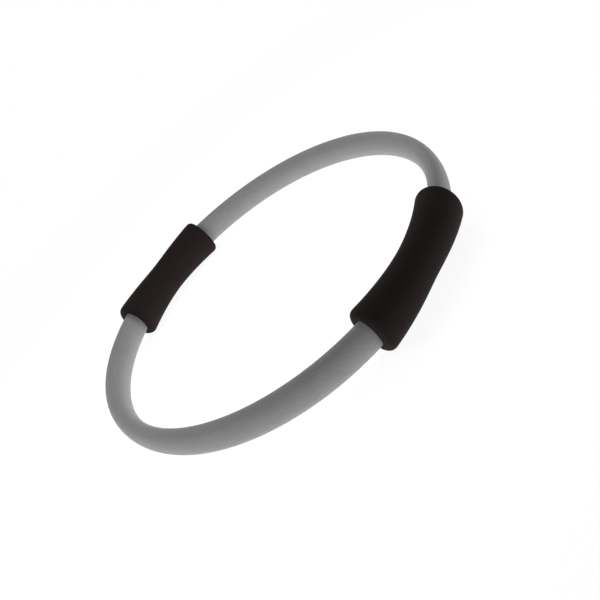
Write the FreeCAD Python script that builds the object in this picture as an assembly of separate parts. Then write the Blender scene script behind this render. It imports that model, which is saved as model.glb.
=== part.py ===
"""Pilates ring: two padded grips joined by two sprung arcs, each a stack of flat blades in a foam tube.

The ring lies flat. Its axis is Z, the grips face each other along X and the arcs bow out along Y.
Pieces are drawn with the ring's middle plane at height 0, around angle 0 (the +X side), and then lifted
so that the grips stand on the floor at Z = 0. All sizes are in millimetres.
"""
import FreeCAD, Part
import math
import os

from FreeCAD import Vector

# Ring and blades
ring_radius = 178.0
blade_width = 15.0
blade_thickness = 1.8
blade_gap = 0.1
blade_layers = ("inner", "middle", "outer")

# Foam tube over each arc, an oval standing on edge
tube_thickness = 17.0
tube_height = 27.4
tube_blade_clearance = 0.3
tube_end_clearance = 0.4

# Grip sleeve: how far its oval reaches from the ring's centre line, at the waist and at the ends
grip_length = 133.0
waist_outer_reach = 12.6
waist_inner_reach = 18.8
waist_height = 37.0
waist_bend_length = 13.3
flare_outer_reach = 19.0
flare_inner_reach = 19.3
flare_height = 44.0
grip_end_tilt = 8.0
grip_stations = 9
grip_end_round = 5.0
grip_mouth_round = 1.0
grip_bore_clearance = 0.3
grip_rest_flat = 0.5

# Core inside each grip: two halves screwed together around the blade ends
core_length = 80.0
core_web_length = 22.0
core_split_gap = 0.2
core_pocket_clearance = 0.15
core_end_round = 1.5

# Ferrule crimped on each end of a blade stack
ferrule_length = 14.0
ferrule_wall = 0.8
ferrule_blade_clearance = 0.1
ferrule_end_clearance = 0.3

# Pan-head screws through the web of the core, driven from inside the ring
screw_diameter = 2.9
screw_point_length = 1.6
screw_head_diameter = 5.6
screw_head_height = 2.2
screw_head_recess = 2.0
screw_point_cover = 1.5
screw_hole_clearance = 0.15
screw_pitch_along = 10.0
screw_pitch_across = 13.0

# How far off a plane an edge may lie and still count as in it
same_plane = 1e-4

# Sizes that follow from those above
up = Vector(0, 0, 1)
outward = Vector(1, 0, 0)
layer_pitch = blade_thickness + blade_gap
stack_thickness = len(blade_layers) * layer_pitch - blade_gap
ferrule_inside_thickness = stack_thickness + 2 * ferrule_blade_clearance
ferrule_inside_width = blade_width + 2 * ferrule_blade_clearance
ferrule_thickness = ferrule_inside_thickness + 2 * ferrule_wall
ferrule_width = ferrule_inside_width + 2 * ferrule_wall
core_half_at_screws = tube_thickness / 2 * math.sqrt(1 - (screw_pitch_across / tube_height) ** 2)
screw_seat = screw_head_recess + screw_head_height - core_half_at_screws
screw_length = core_half_at_screws - screw_point_cover - screw_seat


def turn(length):
    """Angle in degrees that a length along the centre line takes up."""
    return math.degrees(length / ring_radius)


grip_turn = turn(grip_length / 2)
past_grip_turn = turn(grip_length / 2 + tube_height)
core_turn = turn(core_length / 2)
tube_end_turn = turn(core_length / 2 + tube_end_clearance)
web_turn = turn(core_web_length / 2)
blade_end_turn = turn(core_web_length / 2 + ferrule_end_clearance)
ferrule_end_turn = turn(core_web_length / 2 + ferrule_end_clearance + ferrule_length)
pocket_end_turn = turn(core_web_length / 2 + 2 * ferrule_end_clearance + ferrule_length)


def tapered(waist, flare, along):
    """A size of the sleeve at a distance along it from the waist.

    It follows a hyperbola, which is soft at the waist and nearly straight towards the ends.
    """
    rise = math.hypot(along, waist_bend_length) - waist_bend_length
    full_rise = math.hypot(grip_length / 2, waist_bend_length) - waist_bend_length
    return waist + (flare - waist) * rise / full_rise


ring_height = tapered(waist_height, flare_height, grip_length / 2 - grip_end_round) / 2 - grip_rest_flat


def oval_wire(outer_reach, inner_reach, height):
    """Ellipse across the ring at angle 0, in four quarters that start at its top."""
    half_thick = (outer_reach + inner_reach) / 2
    half_high = height / 2
    middle = Vector(ring_radius + (outer_reach - inner_reach) / 2, 0, 0)
    if half_high >= half_thick:
        ellipse = Part.Ellipse(middle + up * half_high, middle + outward * half_thick, middle)
        start = 0.0
    else:
        ellipse = Part.Ellipse(middle + outward * half_thick, middle - up * half_high, middle)
        start = -math.pi / 2
    bounds = [start + quarter * math.pi / 2 for quarter in range(5)]
    quarters = [Part.ArcOfEllipse(ellipse, low, high) for low, high in zip(bounds, bounds[1:])]
    return Part.Wire([quarter.toShape() for quarter in quarters])


def slab_wire(thickness, width, radius=ring_radius):
    """Rectangle across the ring at angle 0, centred on the given radius."""
    inner = radius - thickness / 2
    outer = radius + thickness / 2
    top = width / 2
    corners = [Vector(inner, 0, -top), Vector(outer, 0, -top), Vector(outer, 0, top), Vector(inner, 0, top)]
    return Part.makePolygon(corners + corners[:1])


def swing(wire, start, end):
    """Solid made by turning a section about the ring's axis from one angle to another, in degrees."""
    face = Part.Face(wire)
    face.rotate(Vector(), up, start)
    return face.revolve(Vector(), up, end - start)


def tube_oval(clearance=0.0):
    """Outline of the foam tube and of the core, with room added all round."""
    reach = tube_thickness / 2 + clearance
    return oval_wire(reach, reach, tube_height + 2 * clearance)


def edges_across(solid, angle, tilt=0.0):
    """Edges in the two planes that cross the ring's centre line at plus and minus an angle.

    With a tilt, the planes are turned about the vertical, so that the outside between them gets shorter
    and the inside longer.
    """
    place = math.radians(angle)
    facing = math.radians(angle - tilt)

    def lies_across(point):
        out = point.x - ring_radius * math.cos(place)
        along = abs(point.y) - ring_radius * math.sin(place)
        return abs(along * math.cos(facing) - out * math.sin(facing)) < same_plane
    return [edge for edge in solid.Edges if all(lies_across(point) for point in edge.discretize(4))]


def blade(layer, start, end):
    """One flat blade of the stack, between two angles."""
    offset = (layer - (len(blade_layers) - 1) / 2) * layer_pitch
    return swing(slab_wire(blade_thickness, blade_width, ring_radius + offset), start, end)


def foam_tube(start, end):
    """Oval foam tube with a flat slot for the blades."""
    slot = slab_wire(stack_thickness + 2 * tube_blade_clearance, blade_width + 2 * tube_blade_clearance)
    return swing(tube_oval(), start, end).cut(swing(slot, start, end))


def ferrule(start, end):
    """Box-shaped metal sleeve round the end of a blade stack."""
    outside = swing(slab_wire(ferrule_thickness, ferrule_width), start, end)
    return outside.cut(swing(slab_wire(ferrule_inside_thickness, ferrule_inside_width), start, end))


def grip_outline(along):
    """Outline of the sleeve at a distance along it from the waist, more tilted the nearer it is to an end."""
    outline = oval_wire(tapered(waist_outer_reach, flare_outer_reach, along),
                        tapered(waist_inner_reach, flare_inner_reach, along),
                        tapered(waist_height, flare_height, along))
    outline.rotate(outward * ring_radius, up, -grip_end_tilt * along / (grip_length / 2))
    outline.rotate(Vector(), up, turn(along))
    return outline


def grip_sleeve():
    """Waisted foam sleeve, rounded at its ends and mouths, with a bore for the tube and flats to rest on."""
    stations = [grip_length * (station / (grip_stations - 1) - 0.5) for station in range(grip_stations)]
    body = Part.makeLoft([grip_outline(along) for along in stations], True, False)
    body = body.makeFillet(grip_end_round, edges_across(body, grip_turn, grip_end_tilt))
    outer_rims = [edge.Length for edge in edges_across(body, grip_turn, grip_end_tilt)]
    body = body.cut(swing(tube_oval(grip_bore_clearance), -past_grip_turn, past_grip_turn))
    mouths = [edge for edge in edges_across(body, grip_turn, grip_end_tilt)
              if edge.Length < min(outer_rims) - grip_mouth_round]
    body = body.makeFillet(grip_mouth_round, mouths)
    below = Part.makeBox(4 * ring_radius, 4 * ring_radius, flare_height,
                         Vector(-2 * ring_radius, -2 * ring_radius, -ring_height - flare_height))
    return body.cut(below)


def screw_seats():
    """Points under the screw heads, along X from the split between the two halves of a core."""
    return [Vector(ring_radius + screw_seat, along * screw_pitch_along / 2, across * screw_pitch_across / 2)
            for along in (-1, 1) for across in (-1, 1)]


def screw(seat):
    """Pan-head screw along X, with its head seated at the given point."""
    head = screw_head_diameter / 2
    shank = screw_diameter / 2
    points = [Vector(-screw_head_height, 0, 0), Vector(-screw_head_height, head, 0), Vector(0, head, 0),
              Vector(0, shank, 0), Vector(screw_length - screw_point_length, shank, 0),
              Vector(screw_length, 0, 0)]
    solid = Part.Face(Part.makePolygon(points + points[:1])).revolve(Vector(), outward, 360)
    crown = [edge for edge in solid.Edges if edge.BoundBox.XMax < -screw_head_height / 2 and edge.Closed]
    solid = solid.makeFillet(screw_head_height / 2, crown)
    solid.translate(seat)
    return solid


def screw_hole(seat):
    """Hole for one screw: its shank with clearance, and a counterbore open to the inside of the ring."""
    shank = Part.makeCylinder(screw_diameter / 2 + screw_hole_clearance, screw_length + screw_hole_clearance,
                              seat, outward)
    counterbore = Part.makeCylinder(screw_head_diameter / 2 + screw_hole_clearance, tube_thickness,
                                    seat, -outward)
    return shank.fuse(counterbore)


def core_halves():
    """Outer and inner half of a core, parted along the blades, with channels and ferrule pockets."""
    blank = swing(tube_oval(), -core_turn, core_turn)
    blank = blank.makeFillet(core_end_round, edges_across(blank, core_turn))
    room = 2 * core_pocket_clearance
    channel = slab_wire(stack_thickness + room, blade_width + room)
    pocket = slab_wire(ferrule_thickness + room, ferrule_width + room)
    for side in (-1, 1):
        blank = blank.cut(swing(channel, side * web_turn, side * past_grip_turn))
        blank = blank.cut(swing(pocket, side * web_turn, side * pocket_end_turn))
    for seat in screw_seats():
        blank = blank.cut(screw_hole(seat))
    bottom = Vector(0, 0, -tube_height)
    outside_split = Part.makeCylinder(ring_radius + core_split_gap / 2, 2 * tube_height, bottom)
    inside_split = Part.makeCylinder(ring_radius - core_split_gap / 2, 2 * tube_height, bottom)
    return blank.cut(outside_split), blank.common(inside_split)


def opposite(shape):
    """The same shape on the other side of the ring's axis."""
    turned = shape.copy()
    turned.rotate(Vector(), up, 180)
    return turned


def build():
    """Every piece of the ring under its name."""
    core_outer, core_inner = core_halves()
    right = {"grip_sleeve": grip_sleeve(),
             "core_outer_half": core_outer,
             "core_inner_half": core_inner,
             "core_screws": Part.makeCompound([screw(seat) for seat in screw_seats()])}
    back = {layer + "_blade": blade(index, blade_end_turn, 180 - blade_end_turn)
            for index, layer in enumerate(blade_layers)}
    back["foam_tube"] = foam_tube(tube_end_turn, 180 - tube_end_turn)
    back["right_ferrule"] = ferrule(blade_end_turn, ferrule_end_turn)
    back["left_ferrule"] = ferrule(180 - ferrule_end_turn, 180 - blade_end_turn)
    swapped = {"right_ferrule": "left_ferrule", "left_ferrule": "right_ferrule"}
    pieces = {}
    for name, shape in right.items():
        pieces["right_" + name] = shape
        pieces["left_" + name] = opposite(shape)
    for name, shape in back.items():
        pieces["back_" + name] = shape
        pieces["front_" + swapped.get(name, name)] = opposite(shape)
    for shape in pieces.values():
        shape.translate(up * ring_height)
    return pieces


os.makedirs("parts", exist_ok=True)
for name, shape in build().items():
    shape.exportStep(os.path.join("parts", name + ".step"))
    box = shape.optimalBoundingBox(False, False)
    print("%-22s %d solid(s), %8.0f mm3, valid %s, X %.1f to %.1f, Y %.1f to %.1f, Z %.2f to %.2f" % (
        name, len(shape.Solids), shape.Volume, shape.isValid(),
        box.XMin, box.XMax, box.YMin, box.YMax, box.ZMin, box.ZMax))
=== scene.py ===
# %% [markdown]
# # A pilates ring, dressed in foam
#
# A pilates ring is a spring to squeeze: two black foam grips, opposite each other, joined by two springy
# arcs in grey foam tube. The CAD model holds the real sizes, the blades inside the arcs, and the joints.
# This script builds the soft pieces around them, gives every piece its finish, and lights the ring on a
# plain white floor. It is a lesson, so each step first says what is made, how it could be made, and why
# it is made this way.

# %% Load the frame
import math
from collections import namedtuple

import bmesh
import bpy
from mathutils import Matrix, Vector


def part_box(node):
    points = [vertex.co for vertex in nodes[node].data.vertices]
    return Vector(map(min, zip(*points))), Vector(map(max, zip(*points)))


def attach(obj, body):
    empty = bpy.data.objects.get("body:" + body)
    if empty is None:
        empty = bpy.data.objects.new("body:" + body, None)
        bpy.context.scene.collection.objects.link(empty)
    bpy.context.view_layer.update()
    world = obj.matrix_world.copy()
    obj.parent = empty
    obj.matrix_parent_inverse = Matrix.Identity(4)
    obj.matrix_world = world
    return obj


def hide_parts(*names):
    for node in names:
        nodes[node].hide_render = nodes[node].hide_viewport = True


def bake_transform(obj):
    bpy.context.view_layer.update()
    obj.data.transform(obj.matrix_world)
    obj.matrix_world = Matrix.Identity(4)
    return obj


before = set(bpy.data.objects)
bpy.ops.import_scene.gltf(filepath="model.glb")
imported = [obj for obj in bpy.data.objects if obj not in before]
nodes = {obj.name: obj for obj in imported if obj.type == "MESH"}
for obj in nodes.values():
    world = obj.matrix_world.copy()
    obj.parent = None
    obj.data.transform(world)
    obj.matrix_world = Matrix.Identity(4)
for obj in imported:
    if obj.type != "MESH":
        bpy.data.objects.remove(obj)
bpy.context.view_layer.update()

# %% [markdown]
# ## Sizes, read from the frame
#
# Everything soft has to sit where its CAD solid sits, so the sizes come from the boxes of the CAD nodes.
# Only what a box can't tell, such as the thickness of the tube or the waist of a grip, is written as a
# number. All lengths are in metres and all angles in radians, as Blender counts them.

# %% Sizes that several pieces share
tube_low, tube_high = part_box("back_foam_tube")
tube_thickness = 0.017
tube_height = tube_high.z - tube_low.z
ring_height = (tube_high.z + tube_low.z) / 2
ring_radius = tube_high.y - tube_thickness / 2
inside_radius = ring_radius - tube_thickness / 2
tube_end_turn = math.asin(tube_low.y / inside_radius)
grip_length = 0.133
grip_end_tilt = math.radians(8)
ring_middle = Vector((0, 0, ring_height))
print("ring radius %.4f, height of its middle %.4f, tube %.4f x %.4f, ends at %.2f degrees" % (
    ring_radius, ring_height, tube_thickness, tube_height, math.degrees(tube_end_turn)))

# %% [markdown]
# ## Camera
#
# The picture looks at the ring from a little above and from one side, and it is rolled, so that the ring
# seems to lean. A Track To constraint could aim a camera, but it can't hold a roll as well. So the
# camera's own three axes are worked out: forward is the line to the aim point, and right and up are
# turned about it by the roll. The picture is cut from a wider one, so the lens looks a little to one
# side, which is what shift is for. The numbers were found by laying the ring's outline over the picture.

# %% Camera
camera_turn = math.radians(60.6)
camera_rise = math.radians(26.955)
camera_distance = 0.58339
camera_roll = math.radians(39.576)
camera_aim = Vector((0.12253, -0.03384, ring_height))
camera_lens = 37.306
camera_sensor_width = 36.0
camera_shift = -0.075

camera_place = ring_middle + camera_distance * Vector((
    math.sin(camera_turn) * math.cos(camera_rise),
    -math.cos(camera_turn) * math.cos(camera_rise),
    math.sin(camera_rise)))
forward = (camera_aim - camera_place).normalized()
level_right = forward.cross(Vector((0, 0, 1))).normalized()
level_up = level_right.cross(forward)
right = level_right * math.cos(camera_roll) - level_up * math.sin(camera_roll)
up = level_up * math.cos(camera_roll) + level_right * math.sin(camera_roll)

camera = bpy.data.objects.new("camera", bpy.data.cameras.new("camera"))
camera.data.sensor_width = camera_sensor_width
camera.data.lens = camera_lens
camera.data.shift_x = camera_shift
camera.matrix_world = Matrix((right, up, -forward)).transposed().to_4x4()
camera.location = camera_place
bpy.context.scene.collection.objects.link(camera)
bpy.context.scene.camera = camera
print("camera at", [round(value, 4) for value in camera_place])

# %% [markdown]
# ## Shader arithmetic
#
# Every finish here is worked out by nodes. A list of nodes and links is hard to read, so one small class
# holds an output socket, and its operators add the Math nodes: a formula for roughness then reads as a
# formula. All other nodes come from one method that sets the node up first and then fills its sockets
# with numbers or with other wrapped sockets. Patterns are asked for by their real size, so that a pore of
# a millimetre says so.


# %% A socket that can be added and multiplied
class Signal:
    """One output socket of a node tree, with arithmetic on values."""

    def __init__(self, tree, socket=None):
        self.tree = tree
        self.socket = socket

    def node(self, kind, settings=None, inputs=None, output=0):
        """Add a node, first its settings and then its sockets, and wrap one of its outputs."""
        made = self.tree.nodes.new(kind)
        for name, value in (settings or {}).items():
            setattr(made, name, value)
        for name, value in (inputs or {}).items():
            self.fill(made.inputs[name], value)
        return Signal(self.tree, made.outputs[output])

    def fill(self, socket, value):
        """Put a plain value or another signal into a socket."""
        if isinstance(value, Signal):
            self.tree.links.new(value.socket, socket)
        else:
            socket.default_value = value

    def maths(self, operation, first, second):
        return self.node("ShaderNodeMath", {"operation": operation}, {0: first, 1: second})

    def __add__(self, other):
        return self.maths("ADD", self, other)

    def __sub__(self, other):
        return self.maths("SUBTRACT", self, other)

    def __rsub__(self, other):
        return self.maths("SUBTRACT", other, self)

    def __mul__(self, other):
        return self.maths("MULTIPLY", self, other)

    __radd__ = __add__

    def mix_colours(self, first, second):
        """A colour between two colours, by this value."""
        factor, first_colour, second_colour, mixed_colour = 0, 6, 7, 2
        inputs = {factor: self, first_colour: first, second_colour: second}
        return self.node("ShaderNodeMix", {"data_type": "RGBA"}, inputs, mixed_colour)

    def ramp(self, start, end, low, high):
        """This value eased from low to high as it goes from start to end."""
        limits = {"Value": self, "From Min": start, "From Max": end, "To Min": low, "To Max": high}
        return self.node("ShaderNodeMapRange", {"interpolation_type": "SMOOTHSTEP"}, limits)

    def drawn_out(self, times):
        """These coordinates, so that a pattern on them is drawn out this many times along each axis."""
        scale = tuple(1 / time for time in times)
        return self.node("ShaderNodeMapping", None, {"Vector": self, "Scale": scale})

    def noise(self, size, detail=2.0):
        """Soft random values about 0.5, in patches of about this size."""
        inputs = {"Vector": self, "Scale": 1 / size, "Detail": detail}
        return self.node("ShaderNodeTexNoise", {"noise_dimensions": "3D"}, inputs)

    def cells(self, size):
        """Distance to the nearest of many scattered points, as a share of the size of a cell."""
        return self.node("ShaderNodeTexVoronoi", None, {"Vector": self, "Scale": 1 / size}, "Distance")

    def pits(self, spacing, reach):
        """1 in the middle of scattered round pits, 0 between them; reach is a share of the spacing."""
        return self.cells(spacing).ramp(0.0, reach, 1.0, 0.0)

    def bump(self, depth, strength):
        """A normal that follows this height."""
        inputs = {"Height": self, "Distance": depth, "Strength": strength}
        return self.node("ShaderNodeBump", None, inputs)


def new_finish(name, **constants):
    """A material with its shader's plain numbers set, and the start of its node maths."""
    material = bpy.data.materials.new(name)
    material.use_nodes = True
    shader = material.node_tree.nodes["Principled BSDF"]
    for socket, value in constants.items():
        shader.inputs[socket.replace("_", " ")].default_value = value
    return material, shader, Signal(material.node_tree)


print("shader arithmetic ready")

# %% [markdown]
# ## Coordinates that follow the foam
#
# The arcs bend when the ring is squeezed, and a pattern on Object coordinates would swim over them. An
# unwrapped UV map would stay put, but it has a seam. Instead each piece of the ring stores at every
# vertex where it would lie if the ring were rolled out straight: how far along, how far out, how high.
# The finishes read that. The angle is counted from the piece's own side of the ring, because a full
# circle's count has to jump somewhere, and a jump inside a piece would smear the pattern there.

# %% Straightened coordinates
straight_name = "straightened"


def store_straight(mesh, facing):
    """Write each vertex's place along, out from and above the ring's centre line."""
    attribute = mesh.attributes.new(straight_name, "FLOAT_VECTOR", "POINT")
    for vertex, item in zip(mesh.vertices, attribute.data):
        x, y, z = vertex.co
        turn = facing + math.remainder(math.atan2(y, x) - facing, 2 * math.pi)
        item.vector = (ring_radius * turn, math.hypot(x, y) - ring_radius, z - ring_height)


def straight_coordinates(signal):
    return signal.node("ShaderNodeAttribute", {"attribute_name": straight_name}, None, "Vector")


print("the ring rolled out is %.3f long" % (2 * math.pi * ring_radius))

# %% [markdown]
# ## Grey foam
#
# The tube is extruded closed-cell foam with a skin: matt, even grey, with faint clouds where the foam is
# denser, drag lines along its length from the die, a fine grain of cells, and scattered pits where a cell
# has burst. A photograph of foam could be wrapped round it, but it would repeat and blur close up. Noise
# has no edge and no pixels. Clouds, drag lines and grain move the colour by a few percent. The pits are
# dented, and painted shade makes their colour darker too.

# %% Grey foam finish
def grey_foam_finish():
    material, shader, signal = new_finish("grey_foam_skin", Specular_IOR_Level=0.25, Sheen_Weight=0.05,
                                          Sheen_Roughness=0.5)
    dense_grey = (0.190, 0.190, 0.192, 1)
    airy_grey = (0.315, 0.315, 0.316, 1)
    # Colour of the painted shade inside a pit.
    painted_pit_shade_grey = (0.150, 0.150, 0.152, 1)
    place = straight_coordinates(signal)
    clouds = place.noise(size=0.018, detail=3.0)
    drag = place.drawn_out((25, 1, 1)).noise(size=0.0011)
    grain = 1 - place.cells(size=0.0009)
    pits = place.pits(spacing=0.00105, reach=0.38)
    tone = clouds * 0.4 + drag * 0.3 + grain * 0.3
    skin = tone.mix_colours(dense_grey, airy_grey)
    height = grain * 0.5 + drag * 0.2 - pits * 0.5
    # Painted shade: the pits' colour is darkened, standing in for the shade that falls in them.
    signal.fill(shader.inputs["Base Color"], (pits * 0.6).mix_colours(skin, painted_pit_shade_grey))
    signal.fill(shader.inputs["Roughness"], 0.5 + clouds * 0.16 + drag * 0.08 + pits * 0.1)
    signal.fill(shader.inputs["Normal"], height.bump(depth=0.0003, strength=0.7))
    return material


grey_foam = grey_foam_finish()
print("made", grey_foam.name, "with", len(grey_foam.node_tree.nodes), "nodes")

# %% [markdown]
# ## Foam tubes
#
# Each arc wears one tube. A curve with a bevel object could make it, but the tube has to bend in two
# steps when the ring is squeezed: from the left grip to the middle of the arc, and from there to the
# right grip. So each tube is spun in two halves that meet at the middle of the arc. A half starts as two
# outlines, the oval skin and the flat slot for the blades. Spinning them about the ring's axis draws both
# walls, and bridging them closes the ends.

# %% Outlines across the ring
def across_ring(turn, out=0.0):
    """Matrix that stands a flat outline across the ring, at an angle and out from its centre line."""
    place = Matrix.Translation((ring_radius + out, 0, ring_height))
    return Matrix.Rotation(turn, 4, "Z") @ place @ Matrix.Rotation(math.pi / 2, 4, "X")


def once_each(items):
    """These items without repeats, in the order they came."""
    return list(dict.fromkeys(items))


def edges_of(points):
    """The edges of an outline, without those that lead away from it."""
    own = set(points)
    edges = once_each(edge for point in points for edge in point.link_edges)
    return [edge for edge in edges if own.issuperset(edge.verts)]


def oval_outline(bm, half_thick, half_high, segments, turn, out=0.0):
    """Points of an oval drawn across the ring, in order round it."""
    points = bmesh.ops.create_circle(bm, segments=segments, radius=1.0)["verts"]
    shape = across_ring(turn, out) @ Matrix.Diagonal((half_thick, half_high, 1, 1))
    bmesh.ops.transform(bm, matrix=shape, verts=points)
    return points


def slab_outline(bm, thickness, height, turn, out=0.0):
    """Points of a rectangle drawn across the ring."""
    points = bmesh.ops.create_grid(bm, x_segments=1, y_segments=1, size=0.5)["verts"]
    shape = across_ring(turn, out) @ Matrix.Diagonal((thickness, height, 1, 1))
    bmesh.ops.transform(bm, matrix=shape, verts=points)
    bmesh.ops.delete(bm, geom=list(points[0].link_faces), context="FACES_ONLY")
    return points


print("outline tools ready")

# %% From outlines to a finished piece
merge_distance = 1e-7
cubic_centimetre = 1e-6


def spin_outline(bm, edges, sweep, steps):
    """Turn an outline about the ring's axis and give back the edges of its far end."""
    geometry = edges + once_each(vertex for edge in edges for vertex in edge.verts)
    made = bmesh.ops.spin(bm, geom=geometry, cent=(0, 0, 0), axis=(0, 0, 1), angle=sweep, steps=steps)
    return [item for item in made["geom_last"] if isinstance(item, bmesh.types.BMEdge)]


def keep_sharp(edges):
    """Stop smooth shading from rounding over these edges."""
    for edge in edges:
        edge.smooth = False


def finish_mesh(bm, name, material, facing, smooth=True):
    """A new object at the origin from a bmesh, with its faces outwards and its texture pinned.

    The volume that it prints is less than nothing if the faces point inwards."""
    bmesh.ops.remove_doubles(bm, verts=bm.verts, dist=merge_distance)
    bmesh.ops.recalc_face_normals(bm, faces=bm.faces)
    volume = bm.calc_volume(signed=True) / cubic_centimetre
    print("%s: %d faces round %.1f cm3" % (name, len(bm.faces), volume))
    mesh = bpy.data.meshes.new(name)
    bm.to_mesh(mesh)
    bm.free()
    mesh.materials.append(material)
    mesh.polygons.foreach_set("use_smooth", [smooth] * len(mesh.polygons))
    store_straight(mesh, facing)
    made = bpy.data.objects.new(name, mesh)
    bpy.context.scene.collection.objects.link(made)
    return made


print("spinning and finishing ready")

# %% [markdown]
# Each half is given where it would bend. It would follow one body at one end and the next body at the
# other, and glide from one to the other between the grip's mouth and the middle of the arc. Foam inside
# a grip has to stay with the grip, so the glide would start where the last of the tube, its inside, leaves
# the mouth. It could run straight to the middle, but that would pinch the tube. So it runs diagonally,
# square to the way an arc moves away from the grip. Then the foam is only sheared: its area stays the
# same, and its length almost. Here these bodies and points are only worked out; no piece is bent by them.

# %% Which half would follow what
ArcHalf = namedtuple("ArcHalf", "end tube_turn start_body end_body start_point end_point")
arc_sides = {"back": 1, "front": -1}
middle_turn = math.pi / 2
mouth_turn = (grip_length / 2 + tube_thickness / 2 * math.tan(grip_end_tilt)) / ring_radius


def inside_point(turn):
    """A point of the tube's inside, the side that leaves a grip last."""
    return Vector((inside_radius * math.cos(turn), inside_radius * math.sin(turn), ring_height))


def diagonally(mouth, middle):
    """The point on the diagonal from a mouth that is level with the middle of the arc."""
    way = middle - mouth
    reach = (abs(way.x) + abs(way.y)) / 2
    return mouth + Vector((math.copysign(reach, way.x), math.copysign(reach, way.y), 0))


def arc_halves(arc):
    """Both halves of an arc: the angle of the tube's end, and the bodies and points it would bend between.
    """
    side = arc_sides[arc]
    middle = inside_point(side * middle_turn)
    left_mouth = inside_point(side * (math.pi - mouth_turn))
    right_mouth = inside_point(side * mouth_turn)
    left = ArcHalf("left", math.pi - tube_end_turn, "left_grip", arc + "_arc",
                   left_mouth, diagonally(left_mouth, middle))
    right = ArcHalf("right", tube_end_turn, arc + "_arc", arc + "_right_end",
                    diagonally(right_mouth, middle), right_mouth)
    return left, right


def bend_with(piece):
    """Bake a piece's place into its mesh; it is not bent."""
    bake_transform(piece)


for half in arc_halves("back"):
    print("back", half.end, "half bends from", half.start_body, "to", half.end_body)

# %% Foam tube halves
tube_segments = 72
tube_steps = 60
slot_thickness = 0.0062
slot_height = 0.0156


def foam_tube_half(arc, half):
    side = arc_sides[arc]
    first_turn = side * half.tube_turn
    sweep = side * middle_turn - first_turn
    bm = bmesh.new()
    skin = edges_of(oval_outline(bm, tube_thickness / 2, tube_height / 2, tube_segments, first_turn))
    slot = edges_of(slab_outline(bm, slot_thickness, slot_height, first_turn))
    skin_end = spin_outline(bm, skin, sweep, tube_steps)
    slot_end = spin_outline(bm, slot, sweep, tube_steps)
    bmesh.ops.bridge_loops(bm, edges=skin + slot)
    bmesh.ops.bridge_loops(bm, edges=skin_end + slot_end)
    keep_sharp(skin + slot + skin_end + slot_end)
    piece = finish_mesh(bm, arc + "_tube_" + half.end + "_half", grey_foam, side * middle_turn)
    bend_with(piece)
    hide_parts(arc + "_foam_tube")


for arc in arc_sides:
    for half in arc_halves(arc):
        foam_tube_half(arc, half)

# %% [markdown]
# ## Blades
#
# Inside each tube lie three flat blades of glass fibre in resin, nested like leaf springs. They could
# stay as the CAD made them, but then they would stay stiff while the foam bends. So they are spun in the
# same halves as the tube. All the fibres run along the blade, so the noise of the finish is
# drawn out that way.

# %% Glass fibre finish
def glass_fibre_finish():
    material, shader, signal = new_finish("glass_fibre_blade", Roughness=0.38, IOR=1.5)
    resin_green = (0.40, 0.44, 0.28, 1)
    fibre_green = (0.70, 0.72, 0.56, 1)
    place = straight_coordinates(signal)
    strands = place.drawn_out((100, 1, 1)).noise(size=0.00055, detail=3.0)
    bundles = place.drawn_out((20, 1, 1)).noise(size=0.0024)
    tone = strands * 0.7 + bundles * 0.3
    signal.fill(shader.inputs["Base Color"], tone.mix_colours(resin_green, fibre_green))
    signal.fill(shader.inputs["Normal"], strands.bump(depth=0.00005, strength=0.4))
    return material


glass_fibre = glass_fibre_finish()
print("made", glass_fibre.name)

# %% Blade halves
blade_layers = ("inner", "middle", "outer")
blade_thickness = 0.0018
blade_steps = 60


def blade_half(arc, layer, half):
    node = arc + "_" + layer + "_blade"
    side = arc_sides[arc]
    low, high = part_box(node)
    outside = max(side * low.y, side * high.y)
    nearest = min(side * low.y, side * high.y)
    end_turn = math.asin(nearest / (outside - blade_thickness))
    first_turn = side * (end_turn if half.end == "right" else math.pi - end_turn)
    out = outside - blade_thickness / 2 - ring_radius
    bm = bmesh.new()
    section = edges_of(slab_outline(bm, blade_thickness, high.z - low.z, first_turn, out))
    spin_outline(bm, section, side * middle_turn - first_turn, blade_steps)
    bmesh.ops.holes_fill(bm, edges=[edge for edge in bm.edges if edge.is_boundary], sides=4)
    piece = finish_mesh(bm, node + "_" + half.end + "_half", glass_fibre, side * middle_turn, smooth=False)
    bend_with(piece)
    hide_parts(node)


for arc in arc_sides:
    for layer in blade_layers:
        for half in arc_halves(arc):
            blade_half(arc, layer, half)

# %% [markdown]
# ## Black foam
#
# The grips are moulded foam, softer and blacker than the tube. Their skin has a finer grain and no gloss,
# and here and there a cell has burst and left a pit. A plain dark colour with a bump map would do from
# afar, but then a pit would be as pale as the skin round it. So one pattern of pits sets colour, roughness
# and height together: the dent, and painted shade that darkens the pit's colour. Black is never quite
# black: a little warm brown in it keeps the form readable.

# %% Black foam finish
def black_foam_finish():
    material, shader, signal = new_finish("black_foam_skin", Specular_IOR_Level=0.03)
    dense_black = (0.0095, 0.0070, 0.0066, 1)
    airy_black = (0.0300, 0.0228, 0.0217, 1)
    # Colour of the painted shade inside a pit.
    painted_pit_shade_black = (0.0044, 0.0033, 0.0031, 1)
    place = straight_coordinates(signal)
    clouds = place.noise(size=0.024, detail=3.0)
    grain = 1 - place.cells(size=0.0006)
    fuzz = place.noise(size=0.0004)
    pits = place.pits(spacing=0.00095, reach=0.36)
    tone = clouds * 0.35 + grain * 0.4 + fuzz * 0.25
    skin = tone.mix_colours(dense_black, airy_black)
    height = grain * 0.5 + fuzz * 0.2 - pits * 0.6
    # Painted shade: the pits' colour is darkened, standing in for the shade that falls in them.
    signal.fill(shader.inputs["Base Color"], (pits * 0.7).mix_colours(skin, painted_pit_shade_black))
    signal.fill(shader.inputs["Roughness"], 0.7 + clouds * 0.14 + pits * 0.1)
    signal.fill(shader.inputs["Normal"], height.bump(depth=0.0004, strength=0.7))
    return material


black_foam = black_foam_finish()
print("made", black_foam.name, "with", len(black_foam.node_tree.nodes), "nodes")

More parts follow.
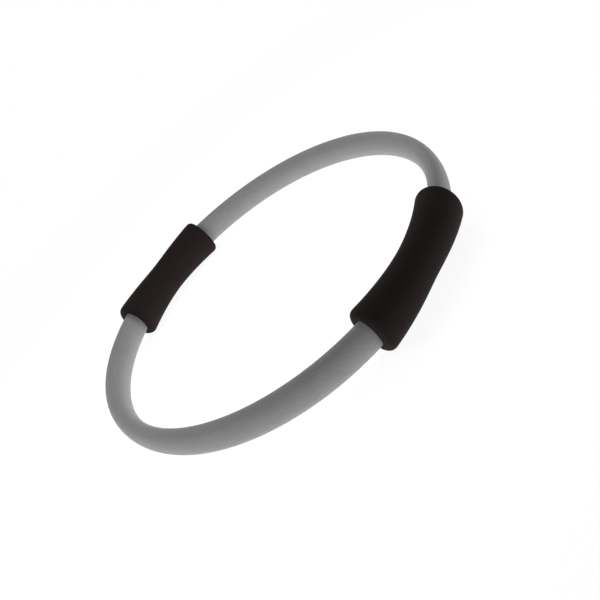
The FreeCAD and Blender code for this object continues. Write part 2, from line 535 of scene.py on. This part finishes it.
# %% [markdown]
# ## Grips
#
# A grip is a sleeve with a waist: an oval that flares towards both ends, follows the ring's curve inside
# and runs almost straight outside, so that a palm lies flat on it. Its ends aren't square to the ring:
# they lean, which makes the outside a little shorter and the inside longer. A lathe can't make it,
# because the oval shifts and turns as it goes. So it is lofted: ovals are drawn across the ring at even
# stations, from end to end for the skin and back again for the bore.

# %% Grip sizes
waist_outer_reach = 0.0126
waist_inner_reach = 0.0188
waist_height = 0.037
waist_bend_length = 0.0133
flare_outer_reach = 0.019
flare_inner_reach = 0.0193
flare_height = 0.044
grip_bore_clearance = 0.0003


def tapered(waist, flare, along):
    """A size of the grip at a distance along it from the waist: a hyperbola, soft at the waist."""
    rise = math.hypot(along, waist_bend_length) - waist_bend_length
    full_rise = math.hypot(grip_length / 2, waist_bend_length) - waist_bend_length
    return waist + (flare - waist) * rise / full_rise


def leaning(along):
    """Angle by which a cut across the grip leans: nothing at the waist, most at the ends."""
    return grip_end_tilt * along / (grip_length / 2)


print("grip thickness at the waist %.4f, at the ends %.4f" % (
    waist_outer_reach + waist_inner_reach, flare_outer_reach + flare_inner_reach))

# %% Ovals along a grip
grip_segments = 48


def sleeve_oval(bm, outer_reach, inner_reach, height, along, facing):
    """Points of an oval across the grip at a distance along it from the waist."""
    half_thick = (outer_reach + inner_reach) / 2
    out = (outer_reach - inner_reach) / 2
    points = oval_outline(bm, half_thick, height / 2, grip_segments, 0.0, out)
    to_ring = Matrix.Translation((ring_radius, 0, 0))
    lean = to_ring @ Matrix.Rotation(-leaning(along), 4, "Z") @ to_ring.inverted()
    place = Matrix.Rotation(facing + along / ring_radius, 4, "Z") @ lean
    bmesh.ops.transform(bm, matrix=place, verts=points)
    return points


def skin_oval(bm, along, facing):
    """The outside of the grip at a distance along it from the waist."""
    outer_reach = tapered(waist_outer_reach, flare_outer_reach, along)
    inner_reach = tapered(waist_inner_reach, flare_inner_reach, along)
    height = tapered(waist_height, flare_height, along)
    return sleeve_oval(bm, outer_reach, inner_reach, height, along, facing)


def bore_oval(bm, along, facing):
    """The bore there, which a leaning cut makes wider."""
    reach = (tube_thickness / 2 + grip_bore_clearance) / math.cos(leaning(along))
    return sleeve_oval(bm, reach, reach, tube_height + 2 * grip_bore_clearance, along, facing)


def join_ovals(bm, first, second):
    """Faces between two ovals, point by point."""
    for index in range(grip_segments):
        bm.faces.new((first[index - 1], first[index], second[index], second[index - 1]))


print("each oval has", grip_segments, "points")

# %% [markdown]
# The ovals are joined one to the next, there and back, into one closed skin. Bridge Edge Loops could join
# them, but at the ends, where two ovals lie in one plane, it can't tell which way round they go, and it
# may twist the end across the bore. So they are joined point by point. Rims of moulded foam are never
# sharp, so they are bevelled round, and then a subdivision surface smooths the whole. Subdivision alone
# would round the rims too, but by an amount that hangs on the mesh and not on a size. Before smoothing,
# the foam is pressed flat where it stands on the floor.

# %% Grip sleeves
grip_facings = {"right": 0.0, "left": math.pi}
grip_stations = 23
grip_end_round = 0.005
grip_mouth_round = 0.001
end_round_segments = 4
mouth_round_segments = 2
smoothing_levels = 2


def round_rims(bm, ovals, size, segments):
    """Bevel the first and the last of a row of ovals."""
    rims = edges_of(ovals[0]) + edges_of(ovals[-1])
    bmesh.ops.bevel(bm, geom=rims, offset=size, segments=segments, profile=0.5, affect="EDGES",
                    material=-1)


def grip_sleeve(side):
    facing = grip_facings[side]
    stations = [grip_length * (station / (grip_stations - 1) - 0.5) for station in range(grip_stations)]
    bm = bmesh.new()
    skin = [skin_oval(bm, along, facing) for along in stations]
    bore = [bore_oval(bm, along, facing) for along in stations]
    there_and_back = skin + bore[::-1]
    for index in range(len(there_and_back)):
        join_ovals(bm, there_and_back[index - 1], there_and_back[index])
    bmesh.ops.recalc_face_normals(bm, faces=bm.faces)
    round_rims(bm, skin, grip_end_round, end_round_segments)
    round_rims(bm, bore, grip_mouth_round, mouth_round_segments)
    for vertex in bm.verts:
        vertex.co.z = max(vertex.co.z, 0.0)
    piece = finish_mesh(bm, side + "_grip_foam", black_foam, facing)
    smoothing = piece.modifiers.new("smooth foam", "SUBSURF")
    smoothing.levels = smoothing_levels
    smoothing.render_levels = smoothing_levels
    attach(piece, side + "_grip")
    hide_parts(side + "_grip_sleeve")


for side in grip_facings:
    grip_sleeve(side)

# %% [markdown]
# ## Cores, ferrules and screws
#
# Inside each grip two plastic core halves clamp the blades' ends, which sit in crimped steel ferrules,
# and four screws hold the halves together. They could be modelled again, but the CAD shapes are right and
# rigid, so only the finish is added. They are hidden, yet a ring that is taken apart should still look
# made: moulded plastic with a fine spark texture, steel with rolling marks, and zinc-plated screws.

# %% Plastic and steel finishes
def object_coordinates(signal):
    return signal.node("ShaderNodeTexCoord", None, None, "Object")


def core_plastic_finish():
    material, shader, signal = new_finish("core_plastic", IOR=1.48)
    dark_plastic = (0.040, 0.040, 0.044, 1)
    pale_plastic = (0.058, 0.058, 0.063, 1)
    place = object_coordinates(signal)
    spark = place.noise(size=0.0003)
    flow = place.noise(size=0.011)
    signal.fill(shader.inputs["Base Color"], flow.mix_colours(dark_plastic, pale_plastic))
    signal.fill(shader.inputs["Roughness"], 0.42 + spark * 0.2)
    signal.fill(shader.inputs["Normal"], spark.bump(depth=0.00006, strength=0.5))
    return material


def plated_steel_finish(name, dark, pale, mark_width):
    material, shader, signal = new_finish(name, Metallic=1.0)
    place = object_coordinates(signal)
    rolling = place.drawn_out((1, 1, 16)).noise(size=mark_width, detail=3.0)
    bloom = place.noise(size=0.006)
    signal.fill(shader.inputs["Base Color"], bloom.mix_colours(dark, pale))
    signal.fill(shader.inputs["Roughness"], 0.24 + rolling * 0.16 + bloom * 0.06)
    signal.fill(shader.inputs["Normal"], rolling.bump(depth=0.00002, strength=0.4))
    return material


core_plastic = core_plastic_finish()
ferrule_steel = plated_steel_finish("ferrule_steel", dark=(0.50, 0.50, 0.48, 1), pale=(0.60, 0.60, 0.59, 1),
                                    mark_width=0.0007)
screw_steel = plated_steel_finish("screw_steel", dark=(0.46, 0.46, 0.47, 1), pale=(0.58, 0.58, 0.60, 1),
                                  mark_width=0.0004)
print("made", core_plastic.name, ferrule_steel.name, screw_steel.name)

# %% Finishes on the rigid pieces
finish_of = {"core_outer_half": core_plastic, "core_inner_half": core_plastic,
             "core_screws": screw_steel, "ferrule": ferrule_steel}
for name, node in nodes.items():
    for ending, finish in finish_of.items():
        if name.endswith(ending):
            node.data.materials.clear()
            node.data.materials.append(finish)
            print(name, "gets", finish.name)

# %% [markdown]
# ## Floor and background
#
# The picture has a pure white background. A bright world could make one, but it would also flood the ring
# with light. So floor and sky are mixed with plain white only where a ray comes straight from the camera,
# or off something shiny. Near the ring part of the floor's own shading stays, and with it the shadow. The
# mix grows to pure white with distance, so there is no horizon.

# %% Floor finish
floor_glow = 0.7
shadow_reach = 0.25
white_reach = 0.9
near_whitening = 0.78
floor_white = (1, 1, 1, 1)
floor_pale = (0.90, 0.90, 0.90, 1)
floor_grey = (0.86, 0.86, 0.86, 1)


def seen_directly(signal):
    """1 for rays from the camera, or off something shiny or through glass, else 0."""
    def ray(output):
        return signal.node("ShaderNodeLightPath", None, None, output)
    direct = signal.maths("MAXIMUM", ray("Is Camera Ray"), ray("Is Glossy Ray"))
    return signal.maths("MAXIMUM", direct, ray("Is Transmission Ray"))


def floor_finish():
    material, shader, signal = new_finish("pale_floor", Roughness=0.9, Specular_IOR_Level=0.0,
                                          Emission_Color=floor_white, Emission_Strength=floor_glow)
    place = object_coordinates(signal)
    tone = place.noise(size=0.33)
    signal.fill(shader.inputs["Base Color"], tone.mix_colours(floor_grey, floor_pale))
    away = signal.node("ShaderNodeVectorMath", {"operation": "LENGTH"}, {0: place}, "Value")
    whitened = seen_directly(signal) * away.ramp(shadow_reach, white_reach, near_whitening, 1.0)
    shading = Signal(material.node_tree, shader.outputs[0])
    white = signal.node("ShaderNodeEmission", None, {"Color": floor_white, "Strength": 1.0})
    mixed = signal.node("ShaderNodeMixShader", None, {0: whitened, 1: shading, 2: white})
    signal.fill(material.node_tree.nodes["Material Output"].inputs["Surface"], mixed)
    return material


pale_floor = floor_finish()
print("made", pale_floor.name)

# %% Floor
floor_size = 8.0
floor_drop = 0.0005

floor_bm = bmesh.new()
bmesh.ops.create_grid(floor_bm, x_segments=1, y_segments=1, size=floor_size / 2)
bmesh.ops.translate(floor_bm, vec=(0, 0, -floor_drop), verts=floor_bm.verts)
floor_mesh = bpy.data.meshes.new("floor")
floor_bm.to_mesh(floor_mesh)
floor_bm.free()
floor_mesh.materials.append(pale_floor)
floor = bpy.data.objects.new("floor", floor_mesh)
bpy.context.scene.collection.objects.link(floor)
print("floor", floor_size, "wide,", floor_drop, "under the ring")

# %% World
studio_light = 0.1
sky_white = (1, 1, 1, 1)


def white_world():
    world = bpy.data.worlds.new("studio")
    world.use_nodes = True
    signal = Signal(world.node_tree)
    dim = signal.node("ShaderNodeBackground", None, {"Color": sky_white, "Strength": studio_light})
    white = signal.node("ShaderNodeBackground", None, {"Color": sky_white, "Strength": 1.0})
    mixed = signal.node("ShaderNodeMixShader", None, {0: seen_directly(signal), 1: dim, 2: white})
    signal.fill(world.node_tree.nodes["World Output"].inputs["Surface"], mixed)
    return world


bpy.context.scene.world = white_world()
bpy.context.scene.view_settings.view_transform = "Standard"
print("sky ready, its light on the ring", studio_light)

# %% [markdown]
# ## Lamps
#
# In the picture the low sides of the foam are the palest, and the far grip is paler than the near one.
# One big lamp overhead would do the opposite. So the ring lies on a light table, and two small soft lamps
# stand close by, one on either side and a little behind, where they reach the far grip more than the near
# one. The table is a lamp too: it lies just above the floor and shines up.

# %% Soft lamps
table_size = 1.6
table_power = 4.26
lamp_rise = math.radians(50)
lamp_distance = 0.5
lamp_width = 0.36
lamp_height = 0.22
side_lamps = {"back_lamp": (math.radians(105), 1.02), "front_lamp": (math.radians(255), 0.92)}


def soft_lamp(name, away, distance, width, height, power):
    """A rectangular lamp at a distance from the ring's middle, turned to face it."""
    lamp = bpy.data.lights.new(name, "AREA")
    lamp.shape = "RECTANGLE"
    lamp.size = width
    lamp.size_y = height
    lamp.energy = power
    made = bpy.data.objects.new(name, lamp)
    made.location = ring_middle + away * distance
    made.rotation_euler = away.to_track_quat("Z", "Y").to_euler()
    bpy.context.scene.collection.objects.link(made)
    return made


def towards(turn, rise):
    """Direction from the ring's middle at an angle around it and an angle above the floor."""
    return Vector((math.cos(turn) * math.cos(rise), math.sin(turn) * math.cos(rise), math.sin(rise)))


table_depth = ring_height + floor_drop / 2
soft_lamp("table_lamp", Vector((0, 0, -1)), table_depth, table_size, table_size, table_power)
for name, (turn, power) in side_lamps.items():
    lamp = soft_lamp(name, towards(turn, lamp_rise), lamp_distance, lamp_width, lamp_height, power)
    print(name, "at", [round(value, 3) for value in lamp.location])
